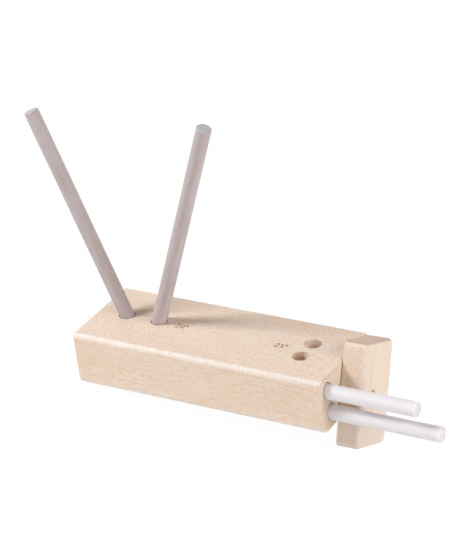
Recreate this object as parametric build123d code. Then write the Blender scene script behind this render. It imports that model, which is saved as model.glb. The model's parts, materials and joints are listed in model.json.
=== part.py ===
from build123d import *
from math import radians, tan
import os

# Ceramic rod knife sharpener. Frame: X along the block towards the turn cap, Y to the back, Z up.
# The origin is the centre of the block's underside. All lengths are in millimetres.

# Block: a bar of beech, as long as given at its foot. Its cap end is sawn a little off square.
block_length = 134.0
block_width = 49.0
block_height = 27.0
cap_end_lean = 1.5
long_edge_round = 2.6
end_edge_round = 1.2
rim_break = 0.3

# Rods: two medium grey ones and two fine white ones, all one size
rod_length = 127.0
rod_diameter = 7.15
medium_end_break = 0.35
fine_end_round = 1.6

# Drilled holes: the play round a rod, and the gap left where a rod touches its hole
rod_play = 0.4
contact_gap = 0.05

# Sockets of the 20 degree pair, side by side along the block, each leaning away from the other
wide_v_angle = 20.0
left_socket_from_end = 16.05
socket_spacing = 18.2
left_socket_depth = 17.6
right_socket_depth = 13.6

# Sockets of the 25 degree pair, one behind the other across the block, leaning past each other
steep_v_angle = 25.0
cross_socket_from_end = 20.05
cross_socket_spacing = 11.4
cross_socket_depth = 15.0

# Storage bores: two at the front and two at the back, open at the cap end
upper_bore_from_side = 5.9
upper_bore_from_top = 6.8
lower_bore_from_side = 7.1
lower_bore_height = 8.6
stored_rod_recess = 1.5
upper_rod_drawn = 45.0
lower_rod_drawn = 55.7

# Turn cap: a board as wide and high as the block, turned open about its screw
cap_thickness = 12.0
cap_outer_round = 2.4
cap_inner_break = 0.4
cap_open_turn = 113.5
pivot_height = 9.15
running_gap = 0.1

# Pivot screw, square to the block's cap end, and the sunk washer that keeps the cap off the block
washer_thickness = 0.5
washer_diameter = 10.0
washer_seat_depth = 0.3
washer_seat_play = 0.1
screw_shank_diameter = 2.6
screw_shank_play = 0.05
screw_thread_length = 16.0
screw_point_length = 3.4
screw_point_diameter = 0.6
screw_head_diameter = 4.5
screw_head_height = 1.7
screw_head_round = 0.5
screw_recess_length = 2.6
screw_recess_width = 0.6
screw_recess_depth = 0.9
thread_fit = 0.02
counterbore_diameter = 4.9
counterbore_depth = 3.4

# How far a cutter runs past the face that it opens
overrun = 2.0

# Places that follow from the sizes above
block_end = block_length / 2
rod_radius = rod_diameter / 2
hole_diameter = rod_diameter + 2 * rod_play
rod_drop = rod_play - contact_gap
left_socket_x = left_socket_from_end - block_end
right_socket_x = left_socket_x + socket_spacing
cross_socket_x = block_end - cross_socket_from_end
cross_socket_y = cross_socket_spacing / 2
upper_bore_y = block_width / 2 - upper_bore_from_side
upper_bore_height = block_height - upper_bore_from_top
lower_bore_y = block_width / 2 - lower_bore_from_side
storage_depth = rod_length + stored_rod_recess

# Places along the screw, counted from the block's cap end
cap_inner_face = washer_thickness - washer_seat_depth + running_gap
cap_outer_face = cap_inner_face + cap_thickness
head_seat = cap_outer_face - counterbore_depth + running_gap


def tilted_place(x, y, lean):
    """The place on the block's top whose Z leans by lean degrees towards +X."""
    return Location((x, y, block_height), (0, lean, 0))


def cap_end_x(height):
    """How far along X the leaning cap end lies at this height above the underside."""
    return block_end - height * tan(radians(cap_end_lean))


def pivot_place():
    """The place on the cap end whose X runs out along the pivot screw."""
    return Location((cap_end_x(pivot_height), 0, pivot_height), (0, -cap_end_lean, 0))


def square_bar(length):
    """A bar along X with the block's width and height, standing on Z = 0."""
    return Box(length, block_width, block_height, align=(Align.CENTER, Align.CENTER, Align.MIN))


def rounded_over(bar, low_end_round, high_end_round):
    """The bar with its long edges, and then the edges of both its ends, rounded over."""
    bar = fillet(bar.edges().filter_by(Axis.X), long_edge_round)
    bar = fillet(bar.faces().sort_by(Axis.X)[0].edges(), low_end_round)
    return fillet(bar.faces().sort_by(Axis.X)[-1].edges(), high_end_round)


def hole_cutter(depth):
    """A drill of a rod's hole: its mouth at Z = 0, its floor below, with an overrun above."""
    drill = Cylinder(hole_diameter / 2, depth + overrun, align=(Align.CENTER, Align.CENTER, Align.MAX))
    return Pos(0, 0, overrun) * drill


def storage_cutter(y, z):
    """A storage bore from the block's cap end, with its mouth broken by a small chamfer."""
    mouth = Location((cap_end_x(z), y, z), (0, 90, 0))
    broken = Cone(
        hole_diameter / 2,
        hole_diameter / 2 + rim_break,
        rim_break,
        align=(Align.CENTER, Align.CENTER, Align.MAX),
    )
    return mouth * (hole_cutter(storage_depth) + broken)


def screw_cutter():
    """The hole in the cap end that the pivot screw's thread fills, and the washer's seat round it."""
    radius = screw_shank_diameter / 2 + thread_fit
    straight = screw_thread_length - screw_point_length
    mouth = pivot_place() * Rot(0, -90, 0)
    seat = Pos(0, 0, washer_seat_depth) * Cylinder(
        washer_diameter / 2 + washer_seat_play,
        washer_seat_depth + overrun,
        align=(Align.CENTER, Align.CENTER, Align.MAX),
    )
    shank = Pos(0, 0, -overrun) * Cylinder(
        radius, straight + overrun, align=(Align.CENTER, Align.CENTER, Align.MIN)
    )
    point = Pos(0, 0, straight) * Cone(
        radius,
        screw_point_diameter / 2 + thread_fit,
        screw_point_length + thread_fit,
        align=(Align.CENTER, Align.CENTER, Align.MIN),
    )
    return mouth * (seat + shank + point)


def base_block():
    """The block with its four leaning sockets, four storage bores and the screw's hole."""
    cap_end = Plane(Location((block_end, 0, 0), (0, 90 - cap_end_lean, 0)))
    bar = split(square_bar(block_length), bisect_by=cap_end, keep=Keep.BOTTOM)
    block = rounded_over(bar, end_edge_round, end_edge_round)
    block -= tilted_place(left_socket_x, 0, -wide_v_angle) * hole_cutter(left_socket_depth)
    block -= tilted_place(right_socket_x, 0, wide_v_angle) * hole_cutter(right_socket_depth)
    for side, lean in ((-1, steep_v_angle), (1, -steep_v_angle)):
        place = tilted_place(cross_socket_x, side * cross_socket_y, lean)
        block -= place * hole_cutter(cross_socket_depth)
    for side in (-1, 1):
        block -= storage_cutter(side * upper_bore_y, upper_bore_height)
        block -= storage_cutter(side * lower_bore_y, lower_bore_height)
    return block - screw_cutter()


def turn_cap():
    """The cap, drilled while closed and then turned open about the screw."""
    cap = rounded_over(square_bar(cap_thickness), cap_inner_break, cap_outer_round)
    cap = Pos(cap_inner_face + cap_thickness / 2, 0, -pivot_height) * cap
    outer = Location((cap_outer_face, 0, 0), (0, 90, 0))
    bore = Cylinder(
        screw_shank_diameter / 2 + screw_shank_play,
        cap_thickness + overrun,
        align=(Align.CENTER, Align.CENTER, Align.MAX),
    )
    head_room = Pos(0, 0, overrun) * Cylinder(
        counterbore_diameter / 2,
        counterbore_depth + overrun,
        align=(Align.CENTER, Align.CENTER, Align.MAX),
    )
    cap -= outer * bore
    cap -= outer * head_room
    return pivot_place() * Rot(-cap_open_turn, 0, 0) * cap


def pivot_screw():
    """A round-headed wood screw with a cross recess, its shank through the cap into the block."""
    seat = pivot_place() * Location((head_seat, 0, 0), (0, 90, 0))
    head = Cylinder(
        screw_head_diameter / 2, screw_head_height, align=(Align.CENTER, Align.CENTER, Align.MIN)
    )
    head = fillet(head.edges().sort_by(Axis.Z)[-1], screw_head_round)
    for turn in (0, 90):
        slot = Box(
            screw_recess_length,
            screw_recess_width,
            screw_recess_depth,
            align=(Align.CENTER, Align.CENTER, Align.MAX),
        )
        head -= Pos(0, 0, screw_head_height) * Rot(0, 0, turn) * slot
    reach = head_seat + screw_thread_length
    straight = reach - screw_point_length
    shank = Cylinder(
        screw_shank_diameter / 2, straight, align=(Align.CENTER, Align.CENTER, Align.MAX)
    )
    point = Pos(0, 0, -straight) * Cone(
        screw_point_diameter / 2,
        screw_shank_diameter / 2,
        screw_point_length,
        align=(Align.CENTER, Align.CENTER, Align.MAX),
    )
    return seat * (head + shank + point)


def spacer_washer():
    """The flat washer on the screw, on the floor of its seat in the cap end."""
    place = pivot_place() * Location((-washer_seat_depth, 0, 0), (0, 90, 0))
    disc = Cylinder(
        washer_diameter / 2, washer_thickness, align=(Align.CENTER, Align.CENTER, Align.MIN)
    )
    bore = Cylinder(
        screw_shank_diameter / 2 + screw_shank_play,
        washer_thickness,
        align=(Align.CENTER, Align.CENTER, Align.MIN),
    )
    return place * (disc - bore)


def medium_rod(x, lean, depth):
    """A grey rod standing in its leaning socket, just clear of the socket's floor."""
    rod = Cylinder(rod_radius, rod_length, align=(Align.CENTER, Align.CENTER, Align.MIN))
    rod = chamfer(rod.edges().filter_by(GeomType.CIRCLE), medium_end_break)
    return tilted_place(x, 0, lean) * Pos(0, 0, contact_gap - depth) * rod


def fine_rod(y, z, drawn):
    """A white rod lying on the floor of its storage bore, drawn out by the given length."""
    rod = Cylinder(rod_radius, rod_length, align=(Align.CENTER, Align.CENTER, Align.MAX))
    rod = fillet(rod.edges().filter_by(GeomType.CIRCLE), fine_end_round)
    return Location((block_end + drawn, y, z - rod_drop), (0, 90, 0)) * rod


def make_parts():
    """Every piece of the sharpener under its own name."""
    return {
        "base_block": base_block(),
        "turn_cap": turn_cap(),
        "pivot_screw": pivot_screw(),
        "spacer_washer": spacer_washer(),
        "medium_rod_left": medium_rod(left_socket_x, -wide_v_angle, left_socket_depth),
        "medium_rod_right": medium_rod(right_socket_x, wide_v_angle, right_socket_depth),
        "fine_rod_upper": fine_rod(-upper_bore_y, upper_bore_height, upper_rod_drawn),
        "fine_rod_lower": fine_rod(-lower_bore_y, lower_bore_height, lower_rod_drawn),
    }


os.makedirs("parts", exist_ok=True)
for name, piece in make_parts().items():
    export_step(piece, f"parts/{name}.step")
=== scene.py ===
"""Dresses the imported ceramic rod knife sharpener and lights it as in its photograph.

Lengths are in metres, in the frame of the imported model: X runs along the block towards the
turn cap, Y to the back and Z up, and the origin is the centre of the block's underside.
"""

import json
import logging
from dataclasses import dataclass, field
from enum import Enum
from math import atan2, cos, degrees, pi, radians, sin
from typing import Any

import bpy
import numpy as np
from mathutils import Matrix, Vector

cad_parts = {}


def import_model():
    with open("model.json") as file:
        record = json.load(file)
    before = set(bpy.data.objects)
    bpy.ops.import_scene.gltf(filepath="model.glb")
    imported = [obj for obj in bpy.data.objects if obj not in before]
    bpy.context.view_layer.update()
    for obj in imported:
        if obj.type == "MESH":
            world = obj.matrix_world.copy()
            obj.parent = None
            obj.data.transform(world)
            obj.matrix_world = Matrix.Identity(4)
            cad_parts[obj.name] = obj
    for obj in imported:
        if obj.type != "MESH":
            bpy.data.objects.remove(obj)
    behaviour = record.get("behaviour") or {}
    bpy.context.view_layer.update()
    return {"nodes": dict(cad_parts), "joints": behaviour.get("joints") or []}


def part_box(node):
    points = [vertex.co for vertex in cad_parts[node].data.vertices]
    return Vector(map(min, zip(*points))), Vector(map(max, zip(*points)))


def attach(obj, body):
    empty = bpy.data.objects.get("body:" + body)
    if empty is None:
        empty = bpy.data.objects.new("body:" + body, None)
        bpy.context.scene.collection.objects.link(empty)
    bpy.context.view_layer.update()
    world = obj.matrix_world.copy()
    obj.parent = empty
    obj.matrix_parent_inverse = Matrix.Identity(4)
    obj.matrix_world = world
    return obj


Colour = tuple[float, float, float, float]
Triple = tuple[float, float, float]
Pair = tuple[float, float]
Socket = bpy.types.NodeSocket
Sockets = dict[str, Socket]
Feed = float | tuple | Vector | Socket
Face = tuple[int, ...]

LOG = logging.getLogger("sharpener")
MM = 0.001
PER_MM: Triple = (1 / MM, 1 / MM, 1 / MM)
WHITE: Colour = (1.0, 1.0, 1.0, 1.0)
BURN = "burn"


def lift(level: float) -> float:
    """Undoes the display curve for one level from 0 to 255."""
    share = level / 255
    return share / 12.92 if share <= 0.04045 else ((share + 0.055) / 1.055) ** 2.4


def linear(red: float, green: float, blue: float) -> Colour:
    """Turns a display colour into the scene's linear colour.

    Args:
        red: Red from 0 to 255.
        green: Green from 0 to 255.
        blue: Blue from 0 to 255.

    Returns:
        The same colour in linear light, with full alpha.
    """
    return lift(red), lift(green), lift(blue), 1.0


class Graph:
    """Adds and joins the nodes of one shader node tree."""

    def __init__(self, tree: bpy.types.NodeTree) -> None:
        """Keeps the tree that the nodes go into."""
        self.tree = tree

    def feed(self, socket: Socket, value: Feed) -> None:
        """Joins a socket to an input, or sets the input to a plain value.

        Args:
            socket: The input to feed.
            value: Another node's output, a number, a vector or a colour.
        """
        if isinstance(value, Socket):
            self.tree.links.new(value, socket)
        else:
            socket.default_value = value

    def add(self, kind: str, feeds: dict[str | int, Feed] | None = None, **settings: Any) -> bpy.types.Node:
        """Adds one node.

        Args:
            kind: The node's type without its leading word ShaderNode.
            feeds: What goes into its inputs, by name or number.
            settings: The node's own options.

        Returns:
            The new node.
        """
        node = self.tree.nodes.new("ShaderNode" + kind)
        for option, choice in settings.items():
            setattr(node, option, choice)
        for key, value in (feeds or {}).items():
            self.feed(node.inputs[key], value)
        return node

    def math(self, operation: str, *values: Feed) -> Socket:
        """Works out one number from others.

        Args:
            operation: The Math node's operation.
            values: Its inputs in order.

        Returns:
            The result's socket.
        """
        return self.add("Math", dict(enumerate(values)), operation=operation).outputs[0]

    def times(self, first: Feed, *others: Feed) -> Socket:
        """Multiplies numbers with each other, in their order.

        Args:
            first: The first of them.
            others: The ones that it is multiplied by.

        Returns:
            The product's socket.
        """
        product = first
        for other in others:
            product = self.math("MULTIPLY", product, other)
        return product

    def plus(self, base: Feed, value: Feed, weight: Feed) -> Socket:
        """Adds a weighted number to another.

        Args:
            base: The number that it is added to.
            value: The number to add.
            weight: What it is multiplied by first.

        Returns:
            The sum's socket.
        """
        return self.math("MULTIPLY_ADD", value, weight, base)

    def rest_of(self, share: Feed) -> Socket:
        """Gives what a share leaves of 1."""
        return self.math("SUBTRACT", 1.0, share)

    def vector(self, operation: str, *values: Feed) -> Socket:
        """Works out one vector, or one number, from vectors.

        Args:
            operation: The Vector Math node's operation.
            values: Its inputs in order.

        Returns:
            The result's socket.
        """
        node = self.add("VectorMath", dict(enumerate(values)), operation=operation)
        return node.outputs["Value" if operation in ("LENGTH", "DOT_PRODUCT") else "Vector"]

    def scaled(self, vector: Feed, factors: Triple) -> Socket:
        """Multiplies the X, Y and Z of a vector by a factor each."""
        return self.vector("MULTIPLY", vector, factors)

    def turned(self, vector: Feed, axis: str, angle: Feed) -> Socket:
        """Turns a vector about the X, Y or Z axis, by an angle in radians."""
        feeds = {"Vector": vector, "Angle": angle}
        return self.add("VectorRotate", feeds, rotation_type=axis + "_AXIS").outputs[0]

    def split(self, vector: Feed) -> tuple[Socket, ...]:
        """Gives the X, Y and Z of a vector."""
        return tuple(self.add("SeparateXYZ", {0: vector}).outputs)

    def join(self, x: Feed, y: Feed, z: Feed) -> Socket:
        """Gives the vector with this X, Y and Z."""
        return self.add("CombineXYZ", {0: x, 1: y, 2: z}).outputs[0]

    def ramp(self, value: Feed, low: float, high: float) -> Socket:
        """Turns a value into a smooth share from 0 at low to 1 at high.

        Args:
            value: The value to read.
            low: Where the share is 0.
            high: Where the share is 1, above low or below it.

        Returns:
            The share's socket.
        """
        feeds = {"Value": value, "From Min": low, "From Max": high}
        return self.add("MapRange", feeds, interpolation_type="SMOOTHSTEP").outputs[0]

    def blend(self, share: Feed, first: Feed, second: Feed, way: str = "MIX") -> Socket:
        """Mixes two colours.

        Args:
            share: How much of the second colour.
            first: The colour at share 0.
            second: The colour at share 1.
            way: The mix's blend type.

        Returns:
            The mixed colour's socket.
        """
        node = self.add("Mix", {0: share, 6: first, 7: second}, data_type="RGBA", blend_type=way)
        return node.outputs[2]

    def noise(self, vector: Feed, scale: float, detail: float, roughness: float = 0.5) -> Socket:
        """Gives a cloudy value from 0 to 1.

        Args:
            vector: Where to read it.
            scale: How many clouds in a unit of length.
            detail: How many finer layers lie on it.
            roughness: How strong those layers are.

        Returns:
            The value's socket.
        """
        feeds = {"Vector": vector, "Scale": scale, "Detail": detail, "Roughness": roughness}
        return self.add("TexNoise", feeds).outputs[0]

    def clouds(self, place: Feed, density: Triple, detail: float, roughness: float = 0.5) -> Socket:
        """Gives a cloudy value from 0 to 1 that is denser along some axes than along others.

        Args:
            place: Where to read it.
            density: How many clouds in a unit of length along X, Y and Z.
            detail: How many finer layers lie on it.
            roughness: How strong those layers are.

        Returns:
            The value's socket.
        """
        return self.noise(self.scaled(place, density), 1.0, detail, roughness)

    def seen(self) -> Socket:
        """Tells what is seen from what only lights.

        Returns:
            The socket of a share that is 1 for the camera, in reflections and through glass.
        """
        path = self.add("LightPath").outputs
        seen = self.math("MAXIMUM", path["Is Camera Ray"], path["Is Glossy Ray"])
        return self.math("MAXIMUM", seen, path["Is Transmission Ray"])


class ShaderGroup:
    """A node group that is built once and placed in any material with its own values."""

    name: str = ""
    takes: dict[str, str] = {}
    gives: dict[str, str] = {}

    def tree(self) -> bpy.types.NodeTree:
        """Finds the group's tree, or builds it the first time.

        Returns:
            The group's node tree.
        """
        found = bpy.data.node_groups.get(self.name)
        if found:
            return found
        tree = bpy.data.node_groups.new(self.name, "ShaderNodeTree")
        for way, sockets in (("INPUT", self.takes), ("OUTPUT", self.gives)):
            for socket, kind in sockets.items():
                tree.interface.new_socket(socket, in_out=way, socket_type="NodeSocket" + kind)
        start = tree.nodes.new("NodeGroupInput")
        end = tree.nodes.new("NodeGroupOutput")
        graph = Graph(tree)
        results = self.wire(graph, {s.name: s for s in start.outputs if s.name})
        for socket, value in results.items():
            graph.feed(end.inputs[socket], value)
        return tree

    def wire(self, graph: Graph, given: Sockets) -> Sockets:
        """Builds the group's inside.

        Args:
            graph: Where its nodes go.
            given: The group's inputs by name.

        Returns:
            What goes to each output, by name.
        """
        raise NotImplementedError

    def place(self, graph: Graph, feeds: dict[str | int, Feed]) -> Sockets:
        """Puts the group into a material or another group.

        Args:
            graph: Where it goes.
            feeds: What goes into its inputs, by name.

        Returns:
            Its outputs by name.
        """
        node = graph.add("Group", feeds, node_tree=self.tree())
        return {socket.name: socket for socket in node.outputs}


class BarShape(ShaderGroup):
    """Finds a bar's rounded long edges, and how many millimetres deep in it a hole's wall lies."""

    name = "bar_shape"
    takes = {
        "Position": "Vector",
        "Centre": "Vector",
        "Half Size": "Vector",
        "Low Round": "Float",
        "High Round": "Float",
    }
    gives = {"Edge": "Float", "Depth": "Float"}

    def wire(self, graph: Graph, given: Sockets) -> Sockets:
        """Measures how far the point lies past the bar's flat faces.

        Args:
            graph: Where the nodes go.
            given: The group's inputs by name.

        Returns:
            The mask of the long edges, and the depth.
        """
        own = graph.vector("SUBTRACT", given["Position"], given["Centre"])
        high_side = graph.math("GREATER_THAN", graph.split(own)[1], 0.0)
        sides = {"Value": high_side, "To Min": given["Low Round"], "To Max": given["High Round"]}
        rounding = graph.add("MapRange", sides).outputs[0]
        flat = graph.vector("SUBTRACT", given["Half Size"], graph.join(rounding, rounding, rounding))
        past = graph.vector("SUBTRACT", graph.vector("ABSOLUTE", own), flat)
        x, y, z = graph.split(past)
        round_share = graph.math("DIVIDE", graph.math("MINIMUM", y, z), rounding)
        outside = graph.vector("LENGTH", graph.vector("MAXIMUM", past, (0, 0, 0)))
        largest = graph.math("MAXIMUM", graph.math("MAXIMUM", x, y), z)
        inside = graph.math("MINIMUM", largest, 0.0)
        gap = graph.math("SUBTRACT", graph.math("ADD", outside, inside), rounding)
        return {"Edge": graph.ramp(round_share, low=-0.02, high=0.22), "Depth": graph.times(gap, -1 / MM)}


class ScatteredDashes(ShaderGroup):
    """Short soft dashes strewn through space, some faint and some strong."""

    name = "scattered_dashes"
    takes = {"Vector": "Vector", "Share": "Float"}
    gives = {"Mask": "Float"}
    faintest: float = 0.25

    def wire(self, graph: Graph, given: Sockets) -> Sockets:
        """Keeps the middle of some cells of a cell pattern.

        Args:
            graph: Where the nodes go.
            given: The group's inputs by name.

        Returns:
            The dashes' mask.
        """
        cells = graph.add("TexVoronoi", {"Vector": given["Vector"], "Scale": 1.0})
        middle = graph.ramp(cells.outputs["Distance"], low=0.46, high=0.16)
        chance = graph.add("SeparateColor", {0: cells.outputs["Color"]}).outputs
        kept = graph.math("GREATER_THAN", chance[0], graph.rest_of(given["Share"]))
        strength = graph.plus(self.faintest, chance[1], weight=1 - self.faintest)
        return {"Mask": graph.times(middle, kept, strength)}

    def strew(self, graph: Graph, place: Feed, density: Triple, share: float) -> Socket:
        """Strews the dashes in another group.

        Args:
            graph: Where they go.
            place: Where to read them.
            density: How many cells in a unit of length along X, Y and Z.
            share: What share of the cells holds a dash.

        Returns:
            The dashes' mask.
        """
        return self.place(graph, {"Vector": graph.scaled(place, density), "Share": share})["Mask"]


@dataclass(frozen=True)
class WoodSpot:
    """Where a point of a wooden bar lies: its place, and its share of each kind of face."""

    place: Socket
    turned: Socket
    end: Socket
    flat: Socket
    above: Socket
    beside: Socket
    drilled: Socket


class BeechFigure(ShaderGroup):
    """Beech with its grain along X: growth lines, fibre, rays, end grain darkened partly as painted shade,
    drilled walls paled as painted light, and machined edges with a painted highlight.

    Its sizes are in millimetres, and a density is the number of spots in one along X, Y and Z.
    """

    name = "beech_figure"
    takes = {
        "Position": "Vector",
        "Normal": "Vector",
        "Edge": "Float",
        "Depth": "Float",
        "Pale": "Color",
        "Warm": "Color",
        "Ray": "Color",
        "Drilled": "Color",
        "Machined": "Color",
        "Machining": "Float",
        "End Tint": "Color",
        "Dash": "Float",
        "Fleck Turn": "Float",
        "Fleck": "Float",
    }
    gives = {"Color": "Color", "Roughness": "Float", "Height": "Float"}

    pith: Triple = (0, -64, 88)
    ring_spacing: float = 2.9
    ring_wander: float = 9.0
    wander_density: Triple = (0.018, 0.11, 0.11)
    patch_density: Triple = (0.03, 0.3, 0.3)
    fibre_density: Triple = (0.08, 2.0, 2.0)
    cloud_density: Triple = (0.02, 0.06, 0.06)
    fine_density: Triple = (0.35, 1.9, 1.9)
    top_fine_density: Triple = (0.5, 1.35, 0.6)
    chatter_density: Triple = (1.9, 0.2, 0.2)
    side_ray_density: Triple = (0.24, 0.1, 1.7)
    top_fleck_density: Triple = (0.34, 0.9, 0.1)
    end_ray_density: Triple = (0.1, 0.42, 2.9)
    end_ray_turn: float = radians(51)
    pit_density: Triple = (0.45, 1.1, 1.1)

    def wire(self, graph: Graph, given: Sockets) -> Sockets:
        """Lays the figure's layers over each other.

        Args:
            graph: Where the nodes go.
            given: The group's inputs by name.

        Returns:
            The wood's colour, roughness and height.
        """
        spot = self.spot(graph, given)
        marks = self.marks(graph, spot, given)
        fine = graph.clouds(spot.place, self.fine_density, detail=3.0, roughness=0.6)
        top_fine = graph.clouds(spot.turned, self.top_fine_density, detail=3.0, roughness=0.6)
        chatter = graph.clouds(spot.place, self.chatter_density, detail=3.0, roughness=0.6)
        # Mask of the rounded edges outside the holes: there a pale colour is partly the machined fuzz and
        # partly a painted highlight of the lamps.
        machined = graph.times(given["Edge"], graph.rest_of(spot.drilled), given["Machining"])

        colour = graph.blend(self.warmth(graph, spot, fine, top_fine), given["Pale"], given["Warm"])
        mark_share = graph.times(marks, graph.plus(0.85, given["Edge"], weight=-0.6))
        colour = graph.blend(mark_share, colour, given["Ray"])
        # End grain darkened: the wood's own end-grain tone, and on the cap painted shade as well.
        colour = graph.blend(spot.end, colour, given["End Tint"], "MULTIPLY")
        # Painted light: the hole walls take a paler, pinker colour that lifts the shade inside the holes.
        colour = graph.blend(graph.times(spot.drilled, 0.75), colour, given["Drilled"])
        # Painted highlight: pale chatter strokes along the rounded edges, partly machined fuzz and partly
        # the lamps' sheen.
        strokes = graph.plus(0.05, graph.ramp(chatter, low=0.46, high=0.56), weight=0.95)
        colour = graph.blend(graph.times(strokes, machined), colour, given["Machined"])

        height = graph.plus(graph.times(marks, -0.5), fine, weight=0.3)
        height = graph.plus(height, graph.times(chatter, machined), weight=1.2)
        height = graph.plus(height, graph.times(top_fine, spot.above), weight=0.5)

        rough = graph.plus(0.4, fine, weight=0.16)
        rough = graph.plus(rough, given["Edge"], weight=0.02)
        rough = graph.plus(rough, spot.end, weight=0.14)
        rough = graph.plus(rough, spot.drilled, weight=0.3)
        return {"Color": colour, "Roughness": rough, "Height": height}

    def spot(self, graph: Graph, given: Sockets) -> WoodSpot:
        """Tells end grain, top, sides and drilled walls from each other.

        Args:
            graph: Where the nodes go.
            given: The group's inputs by name.

        Returns:
            Where the point lies.
        """
        place = graph.scaled(given["Position"], PER_MM)
        lengthwise, _, upwards = graph.split(graph.vector("ABSOLUTE", given["Normal"]))
        end = graph.ramp(lengthwise, low=0.55, high=0.85)
        top = graph.ramp(upwards, low=0.6, high=0.8)
        flat = graph.rest_of(end)
        return WoodSpot(
            place=place,
            turned=graph.turned(place, "Z", given["Fleck Turn"]),
            end=end,
            flat=flat,
            above=graph.times(flat, top),
            beside=graph.times(flat, graph.rest_of(top)),
            drilled=graph.ramp(given["Depth"], low=0.35, high=1.2),
        )

    def growth(self, graph: Graph, spot: WoodSpot) -> Socket:
        """Draws the late wood of the growth rings, which shows in patches.

        Args:
            graph: Where the nodes go.
            spot: Where the point lies.

        Returns:
            The mask of the lines.
        """
        wander = graph.clouds(spot.place, self.wander_density, detail=2.0)
        from_pith = graph.vector("SUBTRACT", graph.scaled(spot.place, (0, 1, 1)), self.pith)
        radius = graph.plus(graph.vector("LENGTH", from_pith), wander, weight=self.ring_wander)
        phase = graph.math("FRACT", graph.math("DIVIDE", radius, self.ring_spacing))
        late = graph.times(graph.ramp(phase, low=0.84, high=0.95), graph.ramp(phase, low=1.0, high=0.96))
        patches = graph.clouds(spot.place, self.patch_density, detail=2.0)
        return graph.times(late, graph.ramp(patches, low=0.35, high=0.7))

    def warmth(self, graph: Graph, spot: WoodSpot, fine: Socket, top_fine: Socket) -> Socket:
        """Adds up what makes the wood warmer: growth lines, fibre, clouds, end grain and fine grain.

        Args:
            graph: Where the nodes go.
            spot: Where the point lies.
            fine: The fine grain of the sides.
            top_fine: The fine grain of the top.

        Returns:
            The share of the warm colour.
        """
        fibre = graph.clouds(spot.place, self.fibre_density, detail=4.0, roughness=0.6)
        lines = graph.plus(graph.ramp(fibre, low=0.3, high=0.7), self.growth(graph, spot), weight=1.8)
        warmth = graph.times(lines, graph.plus(0.4, spot.above, weight=-0.12))
        cloud = graph.clouds(spot.place, self.cloud_density, detail=1.0)
        warmth = graph.plus(warmth, graph.ramp(cloud, low=0.3, high=0.7), weight=0.15)
        warmth = graph.plus(warmth, spot.end, weight=0.25)
        grain = graph.plus(graph.times(fine, spot.beside), top_fine, weight=spot.above)
        grain_weight = graph.plus(0.3, spot.above, weight=0.15)
        return graph.plus(warmth, graph.ramp(grain, low=0.4, high=0.65), weight=grain_weight)

    def marks(self, graph: Graph, spot: WoodSpot, given: Sockets) -> Socket:
        """Strews the rays of the sides and ends, the flecks of the top and a few pits.

        Args:
            graph: Where the nodes go.
            spot: Where the point lies.
            given: The group's inputs by name.

        Returns:
            The mask of all these marks.
        """
        dashes = ScatteredDashes()
        side_rays = dashes.strew(graph, spot.place, self.side_ray_density, share=0.2)
        top_flecks = dashes.strew(graph, spot.turned, self.top_fleck_density, share=0.5)
        radial = graph.turned(spot.place, "X", self.end_ray_turn)
        end_rays = dashes.strew(graph, radial, self.end_ray_density, share=0.6)
        pits = dashes.strew(graph, spot.turned, self.pit_density, share=0.015)
        to_back = graph.split(spot.place)[1]
        to_front = graph.plus(0.3, graph.ramp(to_back, low=17.0, high=-1.0), weight=0.7)
        marks = graph.times(side_rays, graph.times(spot.beside, given["Dash"]))
        marks = graph.plus(marks, top_flecks, weight=graph.times(spot.above, to_front, given["Fleck"]))
        marks = graph.plus(marks, end_rays, weight=graph.times(spot.end, 0.55))
        return graph.plus(marks, pits, weight=spot.flat)


class FiredGrit(ShaderGroup):
    """Fired ceramic or plain metal: fine specks, streaks along the rod, and cut ends in a plain colour that
    is partly painted shade.
    """

    name = "fired_grit"
    takes = {
        "Position": "Vector",
        "Normal": "Vector",
        "Length Axis": "Vector",
        "Base": "Color",
        "Speck": "Color",
        "Cut": "Color",
        "Share": "Float",
        "Roughness": "Float",
    }
    gives = {"Color": "Color", "Roughness": "Float", "Height": "Float"}

    streaks_around: Triple = (0.9, 0.9, 0.9)
    streaks_along: Triple = (0.045, 0.045, 0.045)

    def wire(self, graph: Graph, given: Sockets) -> Sockets:
        """Mottles the base colour, and evens it out on cut ends in a colour that is partly painted shade.

        Args:
            graph: Where the nodes go.
            given: The group's inputs by name.

        Returns:
            The skin's colour, roughness and height.
        """
        place = graph.scaled(given["Position"], PER_MM)
        fine = graph.noise(place, scale=3.6, detail=3.0, roughness=0.65)
        around = graph.scaled(given["Normal"], self.streaks_around)
        along = graph.scaled(place, self.streaks_along)
        streak = graph.noise(graph.vector("ADD", around, along), scale=1.0, detail=2.0)
        specks = graph.times(graph.ramp(fine, low=0.42, high=0.72), 0.5)
        share = graph.plus(specks, graph.ramp(streak, low=0.38, high=0.62), weight=1.5)
        colour = graph.blend(graph.times(share, given["Share"]), given["Base"], given["Speck"])
        facing = graph.vector("DOT_PRODUCT", given["Normal"], given["Length Axis"])
        # Share of the cut ends, which take a plain colour that is partly the ground end's own tone and
        # partly painted shade.
        cut = graph.ramp(graph.math("ABSOLUTE", facing), low=0.4, high=0.85)
        rough = graph.plus(given["Roughness"], fine, weight=0.12)
        return {"Color": graph.blend(cut, colour, given["Cut"]), "Roughness": rough, "Height": fine}


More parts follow.
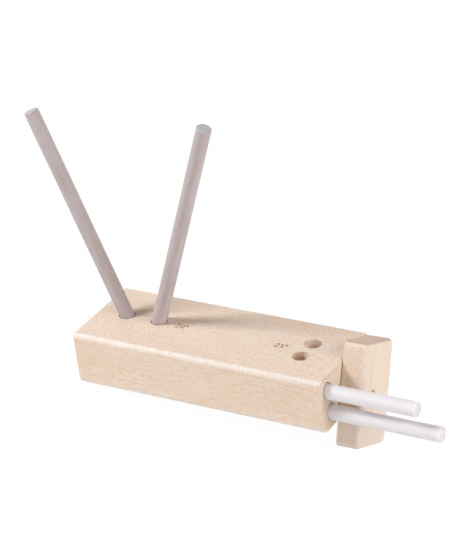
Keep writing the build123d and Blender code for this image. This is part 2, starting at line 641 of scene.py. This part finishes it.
@dataclass(frozen=True)
class Finish:
    """A surface finish that makes one material."""

    name: str

    def build(self) -> bpy.types.Material:
        """Makes the material.

        Returns:
            The new material.
        """
        material = bpy.data.materials.new(self.name)
        material.use_nodes = True
        material.node_tree.nodes.clear()
        graph = Graph(material.node_tree)
        shader = graph.add("BsdfPrincipled")
        graph.add("OutputMaterial", {"Surface": shader.outputs[0]})
        self.dress(graph, shader)
        return material

    def dress(self, graph: Graph, shader: bpy.types.Node) -> None:
        """Feeds the shader.

        Args:
            graph: The material's graph.
            shader: Its Principled shader.
        """
        raise NotImplementedError

    def relief(self, graph: Graph, shader: bpy.types.Node, height: Socket, depth: float) -> None:
        """Gives the shader a fine relief.

        Args:
            graph: The material's graph.
            shader: Its Principled shader.
            height: The relief's height from 0 to 1.
            depth: How deep a height of 1 is, in metres.
        """
        bump = graph.add("Bump", {"Height": height, "Distance": depth, "Strength": 1.0})
        graph.feed(shader.inputs["Normal"], bump.outputs[0])


@dataclass(frozen=True)
class BeechFinish(Finish):
    """Sanded and lightly sealed beech on one rounded bar."""

    centre: Triple
    half_size: Triple
    low_round: float
    high_round: float
    grain_turn: Triple = (0.0, 0.0, 0.0)
    grain_shift: Triple = (0.0, 0.0, 0.0)
    pale: Colour = linear(234, 222, 213)
    warm: Colour = linear(222, 191, 158)
    ray: Colour = linear(208, 154, 104)
    # Paler than the faces: painted light on the hole walls.
    drilled: Colour = linear(240, 218, 202)
    # Pale edge colour: partly the machined fuzz, partly a painted highlight on the rounded edges.
    machined: Colour = linear(226, 223, 221)
    # How much darker the end grain is; the cap's deeper value below is painted shade.
    end_tint: Colour = (0.84, 0.86, 0.87, 1.0)
    machining: float = 1.0
    dash: float = 0.8
    fleck_turn: float = radians(37)
    fleck: float = 0.5
    relief_depth: float = 0.06 * MM
    glow_through: float = 0.3
    scatter_depth: float = 1.2 * MM
    scatter_hue: Triple = (1.0, 0.6, 0.42)

    def figure(self, graph: Graph) -> Sockets:
        """Lays the beech figure over this bar.

        Args:
            graph: The material's graph.

        Returns:
            The figure's outputs by name.
        """
        own = graph.add("TexCoord").outputs
        place_turn = {"Vector": own["Object"], "Rotation": self.grain_turn}
        bar_place = graph.add("Mapping", place_turn).outputs[0]
        normal_turn = {"Vector": own["Normal"], "Rotation": self.grain_turn}
        bar_normal = graph.add("Mapping", normal_turn, vector_type="NORMAL").outputs[0]
        shape = BarShape().place(graph, {
            "Position": bar_place,
            "Centre": self.centre,
            "Half Size": self.half_size,
            "Low Round": self.low_round,
            "High Round": self.high_round,
        })
        return BeechFigure().place(graph, {
            "Position": graph.vector("ADD", bar_place, self.grain_shift),
            "Normal": bar_normal,
            "Edge": shape["Edge"],
            "Depth": shape["Depth"],
            "Pale": self.pale,
            "Warm": self.warm,
            "Ray": self.ray,
            "Drilled": self.drilled,
            "Machined": self.machined,
            "Machining": self.machining,
            "End Tint": self.end_tint,
            "Dash": self.dash,
            "Fleck Turn": self.fleck_turn,
            "Fleck": self.fleck,
        })

    def dress(self, graph: Graph, shader: bpy.types.Node) -> None:
        """Feeds the shader with the figure.

        Args:
            graph: The material's graph.
            shader: Its Principled shader.
        """
        figure = self.figure(graph)
        graph.feed(shader.inputs["Base Color"], figure["Color"])
        graph.feed(shader.inputs["Roughness"], figure["Roughness"])
        shader.inputs["Subsurface Weight"].default_value = self.glow_through
        shader.inputs["Subsurface Scale"].default_value = self.scatter_depth
        shader.inputs["Subsurface Radius"].default_value = self.scatter_hue
        self.relief(graph, shader, figure["Height"], self.relief_depth)


@dataclass(frozen=True)
class BurntFinish(BeechFinish):
    """The same beech, charred where the stroke's burn attribute says so."""

    char: Colour = linear(154, 106, 76)
    char_density: float = 2.2 / MM

    def dress(self, graph: Graph, shader: bpy.types.Node) -> None:
        """Darkens the figure towards the middle of a stroke.

        Args:
            graph: The material's graph.
            shader: Its Principled shader.
        """
        figure = self.figure(graph)
        burn = graph.add("Attribute", attribute_name=BURN).outputs["Fac"]
        place = graph.add("TexCoord").outputs["Object"]
        uneven = graph.ramp(graph.noise(place, self.char_density, detail=2.0), low=0.2, high=0.6)
        charred = graph.times(burn, graph.plus(0.7, uneven, weight=0.3))
        graph.feed(shader.inputs["Base Color"], graph.blend(charred, figure["Color"], self.char))
        graph.feed(shader.inputs["Roughness"], graph.plus(figure["Roughness"], charred, weight=0.3))
        self.relief(graph, shader, figure["Height"], self.relief_depth)


@dataclass(frozen=True)
class GritFinish(Finish):
    """Fired ceramic or plain steel with a fine speckle."""

    base: Colour
    speck: Colour
    speck_share: float
    roughness: float
    cut: Colour = WHITE
    length_axis: Triple = (0.0, 0.0, 0.0)
    relief_depth: float = 0.004 * MM
    metallic: float = 0.0
    glow_through: float = 0.0
    scatter_depth: float = 0.8 * MM
    scatter_hue: Triple = (1.0, 1.0, 1.0)

    def dress(self, graph: Graph, shader: bpy.types.Node) -> None:
        """Feeds the shader with the speckle.

        Args:
            graph: The material's graph.
            shader: Its Principled shader.
        """
        own = graph.add("TexCoord").outputs
        grit = FiredGrit().place(graph, {
            "Position": own["Object"],
            "Normal": own["Normal"],
            "Length Axis": self.length_axis,
            "Base": self.base,
            "Speck": self.speck,
            "Cut": self.cut,
            "Share": self.speck_share,
            "Roughness": self.roughness,
        })
        graph.feed(shader.inputs["Base Color"], grit["Color"])
        graph.feed(shader.inputs["Roughness"], grit["Roughness"])
        shader.inputs["Metallic"].default_value = self.metallic
        shader.inputs["Subsurface Weight"].default_value = self.glow_through
        shader.inputs["Subsurface Scale"].default_value = self.scatter_depth
        shader.inputs["Subsurface Radius"].default_value = self.scatter_hue
        self.relief(graph, shader, grit["Height"], self.relief_depth)


def coat_node(node: bpy.types.Object, material: bpy.types.Material) -> None:
    """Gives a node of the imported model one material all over.

    Args:
        node: The node's object.
        material: The material for every slot.
    """
    if not node.data.materials:
        node.data.materials.append(material)
    for slot in node.material_slots:
        slot.material = material
    LOG.info("%s wears %s", node.name, material.name)


@dataclass
class BeechBlock:
    """The beech bar with its sockets and storage bores."""

    node: bpy.types.Object
    edge_round: float = 2.6 * MM

    def bar(self) -> dict[str, Any]:
        """Gives the bar's middle, half size and rounding.

        Returns:
            The fields of a beech finish that lay it over the block.
        """
        low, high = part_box("base_block")
        return {
            "centre": tuple((low + high) / 2),
            "half_size": tuple((high - low) / 2),
            "low_round": self.edge_round,
            "high_round": self.edge_round,
        }

    def dress(self) -> None:
        """Coats the block with beech whose grain runs along it."""
        coat_node(self.node, BeechFinish("beech_block", **self.bar()).build())


@dataclass
class TurnCap:
    """The end cap, a short board as wide and high as the block, with its grain along its long side."""

    node: bpy.types.Object
    joint: dict[str, Any]
    thickness: float = 12 * MM
    pivot_height: float = 9.15 * MM
    inner_round: float = 0.4 * MM
    outer_round: float = 2.4 * MM
    open_turn: float = radians(113.5)

    def dress(self) -> None:
        """Coats the cap with beech, turned into the place that the open cap has."""
        low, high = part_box("base_block")
        _, half_width, half_height = (high - low) / 2
        pivot = Vector(self.joint["pos_m"])
        axis = Vector(self.joint["axis"])
        level = Matrix.Rotation(atan2(axis.z, axis.x), 3, "Y")
        turn = Matrix.Rotation(pi / 2, 3, "Z") @ Matrix.Rotation(self.open_turn, 3, "X") @ level
        middle = turn @ pivot + Vector((0, 0, half_height - self.pivot_height))
        finish = BeechFinish(
            "beech_cap",
            centre=tuple(middle),
            half_size=(half_width, self.thickness / 2, half_height),
            low_round=self.inner_round,
            high_round=self.outer_round,
            grain_turn=tuple(turn.to_euler()),
            grain_shift=(31 * MM, 17 * MM, 9 * MM),
            pale=linear(229, 218, 209),
            warm=linear(220, 193, 168),
            # Darker than the block's end grain from the same stock: painted shade on the cap's up-turned
            # end.
            end_tint=(0.73, 0.67, 0.67, 1.0),
            fleck=0.12,
            dash=0.25,
            # Weaker pale edge strokes on the cap, so less painted highlight there.
            machining=0.35,
        )
        coat_node(self.node, finish.build())


@dataclass
class PivotHardware:
    """The screw that the cap turns on, and its washer."""

    nodes: list[bpy.types.Object]

    def dress(self) -> None:
        """Coats the screw and the washer with plain steel."""
        steel = GritFinish(
            "screw_steel",
            base=linear(188, 186, 182),
            speck=linear(150, 146, 140),
            speck_share=0.35,
            roughness=0.3,
            metallic=1.0,
        ).build()
        for node in self.nodes:
            coat_node(node, steel)


@dataclass
class RodSet:
    """The two grey and the two white sharpening rods."""

    medium: list[bpy.types.Object]
    fine: list[bpy.types.Object]

    def dress(self) -> None:
        """Coats the grey rods and the white rods with their ceramics."""
        grey = GritFinish(
            "medium_ceramic",
            base=linear(183, 174, 177),
            speck=linear(171, 153, 150),
            speck_share=0.3,
            roughness=0.5,
            cut=linear(183, 181, 186),
            length_axis=(0.0, 0.0, 1.0),
        ).build()
        white = GritFinish(
            "fine_ceramic",
            base=linear(225, 224, 229),
            speck=linear(219, 216, 221),
            speck_share=0.25,
            roughness=0.42,
            # Darker cut ends: painted shade that sets the white rods' ends off from the white background.
            cut=linear(207, 206, 211),
            length_axis=(1.0, 0.0, 0.0),
            glow_through=1.0,
            scatter_depth=5.0 * MM,
        ).build()
        for node in self.medium:
            coat_node(node, grey)
        for node in self.fine:
            coat_node(node, white)


class Glyph(Enum):
    """The signs that the angle marks are made of."""

    TWO = "2"
    ZERO = "0"
    FIVE = "5"
    DEGREE = "degree"


def ellipse_arc(centre: Pair, radii: Pair, start: float, stop: float, steps: int = 20) -> list[Pair]:
    """Points along part of an ellipse.

    Args:
        centre: The ellipse's middle.
        radii: Its half width and half height.
        start: The first angle in degrees, counted from the right.
        stop: The last angle in degrees.
        steps: How many pieces it has.

    Returns:
        The points from start to stop.
    """
    angles = [radians(start + (stop - start) * i / steps) for i in range(steps + 1)]
    return [(centre[0] + radii[0] * cos(a), centre[1] + radii[1] * sin(a)) for a in angles]


@dataclass
class Stroke:
    """One pen stroke: its middle line and its half widths, in shares of the sign's height."""

    line: list[Pair]
    half_widths: list[float]
    closed: bool = False

    @classmethod
    def swelling(cls, line: list[Pair], ends: float, middle: float, closed: bool = False) -> "Stroke":
        """Makes a stroke that swells from one width to another at its middle, and back.

        Args:
            line: The stroke's middle line.
            ends: Its half width at its ends.
            middle: Its half width at its middle.
            closed: Whether it runs back into its start.

        Returns:
            The stroke.
        """
        last = len(line) - 1
        half_widths = [ends + (middle - ends) * sin(pi * i / last) for i in range(last + 1)]
        return cls(line, half_widths, closed)


@dataclass
class AngleMarks:
    """The burnt angle numbers beside the two pairs of sockets."""

    body: str = "block"
    slot: str = "beech"
    height: float = 3.1 * MM
    sign_starts: Triple = (0.0, 2.7 * MM, 5.2 * MM)
    thin_share: float = 0.04
    thick_share: float = 0.085
    feather_share: float = 0.05
    lift: float = 0.02 * MM
    crown: float = 0.03 * MM
    shoulder: float = 0.8
    base_y: float = -2.2 * MM
    starts: dict[str, float] = field(default_factory=lambda: {"20": -22.95 * MM, "25": 30.7 * MM})

    def strokes(self, glyph: Glyph) -> list[Stroke]:
        """The strokes of one sign, in shares of its height, from its lower left corner.

        Args:
            glyph: The sign.

        Returns:
            Its strokes.
        """
        thin, thick = self.thin_share, self.thick_share
        if glyph is Glyph.TWO:
            hook = ellipse_arc((0.32, 0.73), (0.22, 0.25), start=165, stop=-35)
            neck = [(0.26, 0.28), (0.06, 0.06)]
            foot = [(0.04, 0.05), (0.3, 0.06), (0.58, 0.07)]
            return [Stroke.swelling(hook + neck, thin, thick), Stroke.swelling(foot, thick, thick)]
        if glyph is Glyph.ZERO:
            oval = ellipse_arc((0.3, 0.5), (0.25, 0.46), start=90, stop=450, steps=36)
            return [Stroke.swelling(oval[:-1], thin, thick, closed=True)]
        if glyph is Glyph.FIVE:
            bar = [(0.15, 0.95), (0.34, 0.95), (0.52, 0.97)]
            stem = [(0.15, 0.95), (0.12, 0.75), (0.1, 0.54)]
            bowl = ellipse_arc((0.27, 0.31), (0.25, 0.26), start=125, stop=-145)
            swells = ((bar, thin), (stem, thick), (bowl, thick))
            return [Stroke.swelling(line, thin, middle) for line, middle in swells]
        ring = ellipse_arc((0.16, 0.8), (0.145, 0.14), start=0, stop=360, steps=18)
        return [Stroke.swelling(ring[:-1], thick, thick, closed=True)]

    def section(self, half: float) -> list[Triple]:
        """Gives a stroke's cross-section, crowned and with feathered rims.

        Args:
            half: The stroke's half width there, in metres.

        Returns:
            How far aside, how high and how burnt each of its points is, from rim to rim.
        """
        rim = half + self.feather_share * self.height
        return [
            (-rim, 0.0, 0.0),
            (-half, self.shoulder, 1.0),
            (0.0, 1.0, 1.0),
            (half, self.shoulder, 1.0),
            (rim, 0.0, 0.0),
        ]

    def ribbon(self, stroke: Stroke, origin: Vector) -> tuple[list[Vector], list[Face], list[float]]:
        """Builds one stroke as a low ribbon.

        Args:
            stroke: The stroke.
            origin: The lower left corner of its sign.

        Returns:
            The ribbon's points, its faces and the burn at each point.
        """
        line = [Vector((x, y, 0)) * self.height + origin for x, y in stroke.line]
        count = len(line)
        points: list[Vector] = []
        burns: list[float] = []
        for i, middle in enumerate(line):
            before = line[i - 1] if i or stroke.closed else line[0]
            after = line[(i + 1) % count] if i + 1 < count or stroke.closed else line[-1]
            ahead = (after - before).normalized()
            side = Vector((-ahead.y, ahead.x, 0))
            for reach, rise, burn in self.section(stroke.half_widths[i] * self.height):
                points.append(middle + side * reach + Vector((0, 0, self.lift + self.crown * rise)))
                burns.append(burn)
        columns = len(points) // count
        rows = [(i, i + 1) for i in range(count - 1)]
        if stroke.closed:
            rows.append((count - 1, 0))
        else:
            for row, inner in ((0, 1), (count - 1, count - 2)):
                outwards = (line[row] - line[inner]).normalized() * (self.feather_share * self.height)
                for edge in points[row * columns:(row + 1) * columns]:
                    points.append(Vector((edge.x, edge.y, line[row].z + self.lift)) + outwards)
                    burns.append(0.0)
            rows += [(count, 0), (count - 1, count + 1)]
        faces = [
            (a * columns + c, b * columns + c, b * columns + c + 1, a * columns + c + 1)
            for a, b in rows
            for c in range(columns - 1)
        ]
        return points, faces, burns

    def mesh(self, number: str, corner: Triple) -> bpy.types.Mesh:
        """Builds one mark's mesh from its digits and the degree sign.

        Args:
            number: The mark's digits.
            corner: The lower left corner of its first digit.

        Returns:
            The mesh, with its burn at each point.
        """
        x, y, z = corner
        points: list[Vector] = []
        faces: list[Face] = []
        burns: list[float] = []
        glyphs = [Glyph(digit) for digit in number] + [Glyph.DEGREE]
        for along, glyph in zip(self.sign_starts, glyphs):
            for stroke in self.strokes(glyph):
                more, quads, burn = self.ribbon(stroke, Vector((x + along, y, z)))
                faces += [tuple(i + len(points) for i in quad) for quad in quads]
                points += more
                burns += burn
        mesh = bpy.data.meshes.new(f"angle_mark_{number}")
        mesh.from_pydata([tuple(p) for p in points], [], faces)
        mesh.attributes.new(BURN, "FLOAT", "POINT").data.foreach_set("value", burns)
        mesh.shade_smooth()
        return mesh

    def build(self, bar: dict[str, Any]) -> list[bpy.types.Object]:
        """Builds both marks on the block's top.

        Args:
            bar: The block's middle, half size and rounding.

        Returns:
            The two pieces.
        """
        burnt = BurntFinish("burnt_beech", **bar).build()
        top = bar["centre"][2] + bar["half_size"][2]
        pieces = []
        for number, start in self.starts.items():
            mesh = self.mesh(number, (start, self.base_y, top))
            mesh.materials.append(burnt)
            piece = bpy.data.objects.new(mesh.name, mesh)
            bpy.context.scene.collection.objects.link(piece)
            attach(piece, self.body)
            LOG.info("%s has %d faces", piece.name, len(mesh.polygons))
            pieces.append(piece)
        return pieces


@dataclass
class Table:
    """The pale table under the sharpener, which the open cap tips against the block."""

    nodes: dict[str, bpy.types.Object]
    half_size: float = 2.0
    clearance: float = 0.05 * MM
    steepest: float = radians(30)
    halvings: int = 40
    bounce: Colour = (0.86, 0.87, 0.87, 1.0)
    seen_shade: Colour = (0.1, 0.1, 0.1, 1.0)
    seen_glow: float = 0.955

    def outline(self, name: str) -> np.ndarray:
        """Reads a node's points as a front view shows them.

        Args:
            name: The node's name.

        Returns:
            The X and Z of each point, one row each.
        """
        flat = np.zeros(len(self.nodes[name].data.vertices) * 3)
        self.nodes[name].data.vertices.foreach_get("co", flat)
        return flat.reshape(-1, 3)[:, [0, 2]]

    def lean(self) -> Pair:
        """Finds the plane that the block's left edge and the cap's low corner both touch.

        Returns:
            The plane's slope as an angle, and its height along its own normal.
        """
        block, cap = self.outline("base_block"), self.outline("turn_cap")
        low, high = 0.0, self.steepest
        for _ in range(self.halvings):
            angle = (low + high) / 2
            normal = np.array((sin(angle), cos(angle)))
            if (cap @ normal).min() < (block @ normal).min():
                low = angle
            else:
                high = angle
        return angle, float((block @ normal).min())

    def build(self) -> bpy.types.Object:
        """Builds the table top and its paper.

        Returns:
            The table's object.
        """
        angle, height = self.lean()
        normal = Vector((sin(angle), 0, cos(angle)))
        reach = self.half_size
        corners = [(-reach, -reach, 0), (reach, -reach, 0), (reach, reach, 0), (-reach, reach, 0)]
        mesh = bpy.data.meshes.new("table_top")
        mesh.from_pydata(corners, [], [(0, 1, 2, 3)])
        mesh.materials.append(self.paper())
        table = bpy.data.objects.new("table_top", mesh)
        drop = Matrix.Translation(normal * (height - self.clearance))
        table.matrix_world = drop @ Matrix.Rotation(angle, 4, "Y")
        bpy.context.scene.collection.objects.link(table)
        LOG.info("table leans by %.2f degrees", degrees(angle))
        return table

    def paper(self) -> bpy.types.Material:
        """White to the camera and in reflections, but for the shadow, and clear from below.

        Returns:
            The table's material.
        """
        material = bpy.data.materials.new("table_paper")
        material.use_nodes = True
        material.node_tree.nodes.clear()
        graph = Graph(material.node_tree)
        shaded = graph.add("BsdfDiffuse", {"Color": self.seen_shade})
        glow = graph.add("Emission", {"Strength": self.seen_glow})
        bright = graph.add("AddShader", {0: shaded.outputs[0], 1: glow.outputs[0]})
        plain = graph.add("BsdfDiffuse", {"Color": self.bounce})
        front = graph.add("MixShader", {0: graph.seen(), 1: plain.outputs[0], 2: bright.outputs[0]})
        clear = graph.add("BsdfTransparent")
        behind = graph.add("NewGeometry").outputs["Backfacing"]
        both = graph.add("MixShader", {0: behind, 1: front.outputs[0], 2: clear.outputs[0]})
        graph.add("OutputMaterial", {"Surface": both.outputs[0]})
        return material


@dataclass(frozen=True)
class SoftLamp:
    """One softbox, which only lights: no view shows it."""

    name: str
    towards: Triple
    width: float
    height: float
    power: float
    colour: Triple
    distance: float = 1.0

    def hang(self, target: Vector) -> None:
        """Hangs the lamp and points it at the sharpener.

        Args:
            target: What it points at.
        """
        data = bpy.data.lights.new(self.name, "AREA")
        data.shape = "RECTANGLE"
        data.size = self.width
        data.size_y = self.height
        data.energy = self.power
        data.color = self.colour
        lamp = bpy.data.objects.new(self.name, data)
        back = Vector(self.towards).normalized()
        lamp.location = target + back * self.distance
        lamp.rotation_mode = "QUATERNION"
        lamp.rotation_quaternion = (-back).to_track_quat("-Z", "Y")
        lamp.visible_camera = False
        bpy.context.scene.collection.objects.link(lamp)
        LOG.info("%s gives %.1f W", self.name, self.power)


@dataclass
class Studio:
    """The soft light and the white surroundings."""

    target: Vector
    ambient: Colour = (0.1, 0.055, 0.036, 1.0)
    lamps: tuple[SoftLamp, ...] = (
        SoftLamp("key_softbox", towards=(-0.617, -0.298, 0.728),
                 width=0.3, height=0.3, power=8.6, colour=(0.94, 0.98, 0.99)),
        SoftLamp("right_softbox", towards=(0.85, -0.1, 0.45),
                 width=0.8, height=0.5, power=6.1, colour=(1.0, 0.96, 0.9)),
        SoftLamp("right_strip", towards=(0.98, -0.12, 0.13),
                 width=1.0, height=0.24, power=2.4, colour=(0.82, 0.94, 1.0)),
        SoftLamp("front_strip", towards=(0.1, -0.98, 0.13),
                 width=1.0, height=0.24, power=1.7, colour=(1.0, 0.97, 0.92)),
        SoftLamp("back_strip", towards=(0.0, 0.98, 0.13),
                 width=1.0, height=0.24, power=2.1, colour=(1.0, 0.91, 0.84)),
        SoftLamp("left_strip", towards=(-0.98, 0.1, 0.13),
                 width=1.0, height=0.24, power=1.2, colour=(1.0, 0.94, 0.9)),
    )

    def build(self) -> None:
        """Hangs the lamps and makes the world."""
        for lamp in self.lamps:
            lamp.hang(self.target)
        scene = bpy.context.scene
        scene.view_settings.view_transform = "Standard"
        world = bpy.data.worlds.new("white_room")
        world.use_nodes = True
        world.node_tree.nodes.clear()
        graph = Graph(world.node_tree)
        colour = graph.blend(graph.seen(), self.ambient, WHITE)
        sky = graph.add("Background", {"Color": colour, "Strength": 1.0})
        graph.add("OutputWorld", {"Surface": sky.outputs[0]})
        scene.world = world


@dataclass
class PhotoCamera:
    """The camera at the photograph's place, found by fitting the object's edges.

    Its lens and sensor are in millimetres, and back points away from what it looks at.
    """

    eye: Triple = (0.49500, -0.74353, 0.53865)
    right: Triple = (0.864155, 0.491866, -0.106315)
    back: Triple = (0.478455, -0.737609, 0.476460)
    lens: float = 142.07
    sensor: float = 36.0
    nearest: float = 10 * MM

    def build(self) -> bpy.types.Object:
        """Makes the scene's camera.

        Returns:
            The camera's object.
        """
        data = bpy.data.cameras.new("photo_camera")
        data.lens = self.lens
        data.sensor_width = self.sensor
        data.sensor_fit = "AUTO"
        data.clip_start = self.nearest
        camera = bpy.data.objects.new("photo_camera", data)
        back = Vector(self.back).normalized()
        up = back.cross(Vector(self.right)).normalized()
        turn = Matrix((up.cross(back), up, back)).transposed()
        camera.matrix_world = Matrix.Translation(self.eye) @ turn.to_4x4()
        bpy.context.scene.collection.objects.link(camera)
        bpy.context.scene.camera = camera
        return camera


def main() -> None:
    """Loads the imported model, dresses every piece and sets up the studio."""
    logging.basicConfig(level=logging.INFO, format="%(message)s")
    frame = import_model()
    nodes = frame["nodes"]
    joints = {joint["name"]: joint for joint in frame["joints"]}

    PhotoCamera().build()
    block = BeechBlock(nodes["base_block"])
    block.dress()
    TurnCap(nodes["turn_cap"], joints["cap_turn"]).dress()
    PivotHardware([nodes["pivot_screw"], nodes["spacer_washer"]]).dress()
    RodSet(
        medium=[nodes["medium_rod_left"], nodes["medium_rod_right"]],
        fine=[nodes["fine_rod_upper"], nodes["fine_rod_lower"]],
    ).dress()
    AngleMarks().build(block.bar())
    Table(nodes).build()
    Studio(target=Vector((0, 0, 20 * MM))).build()


if __name__ == "__main__":
    main()
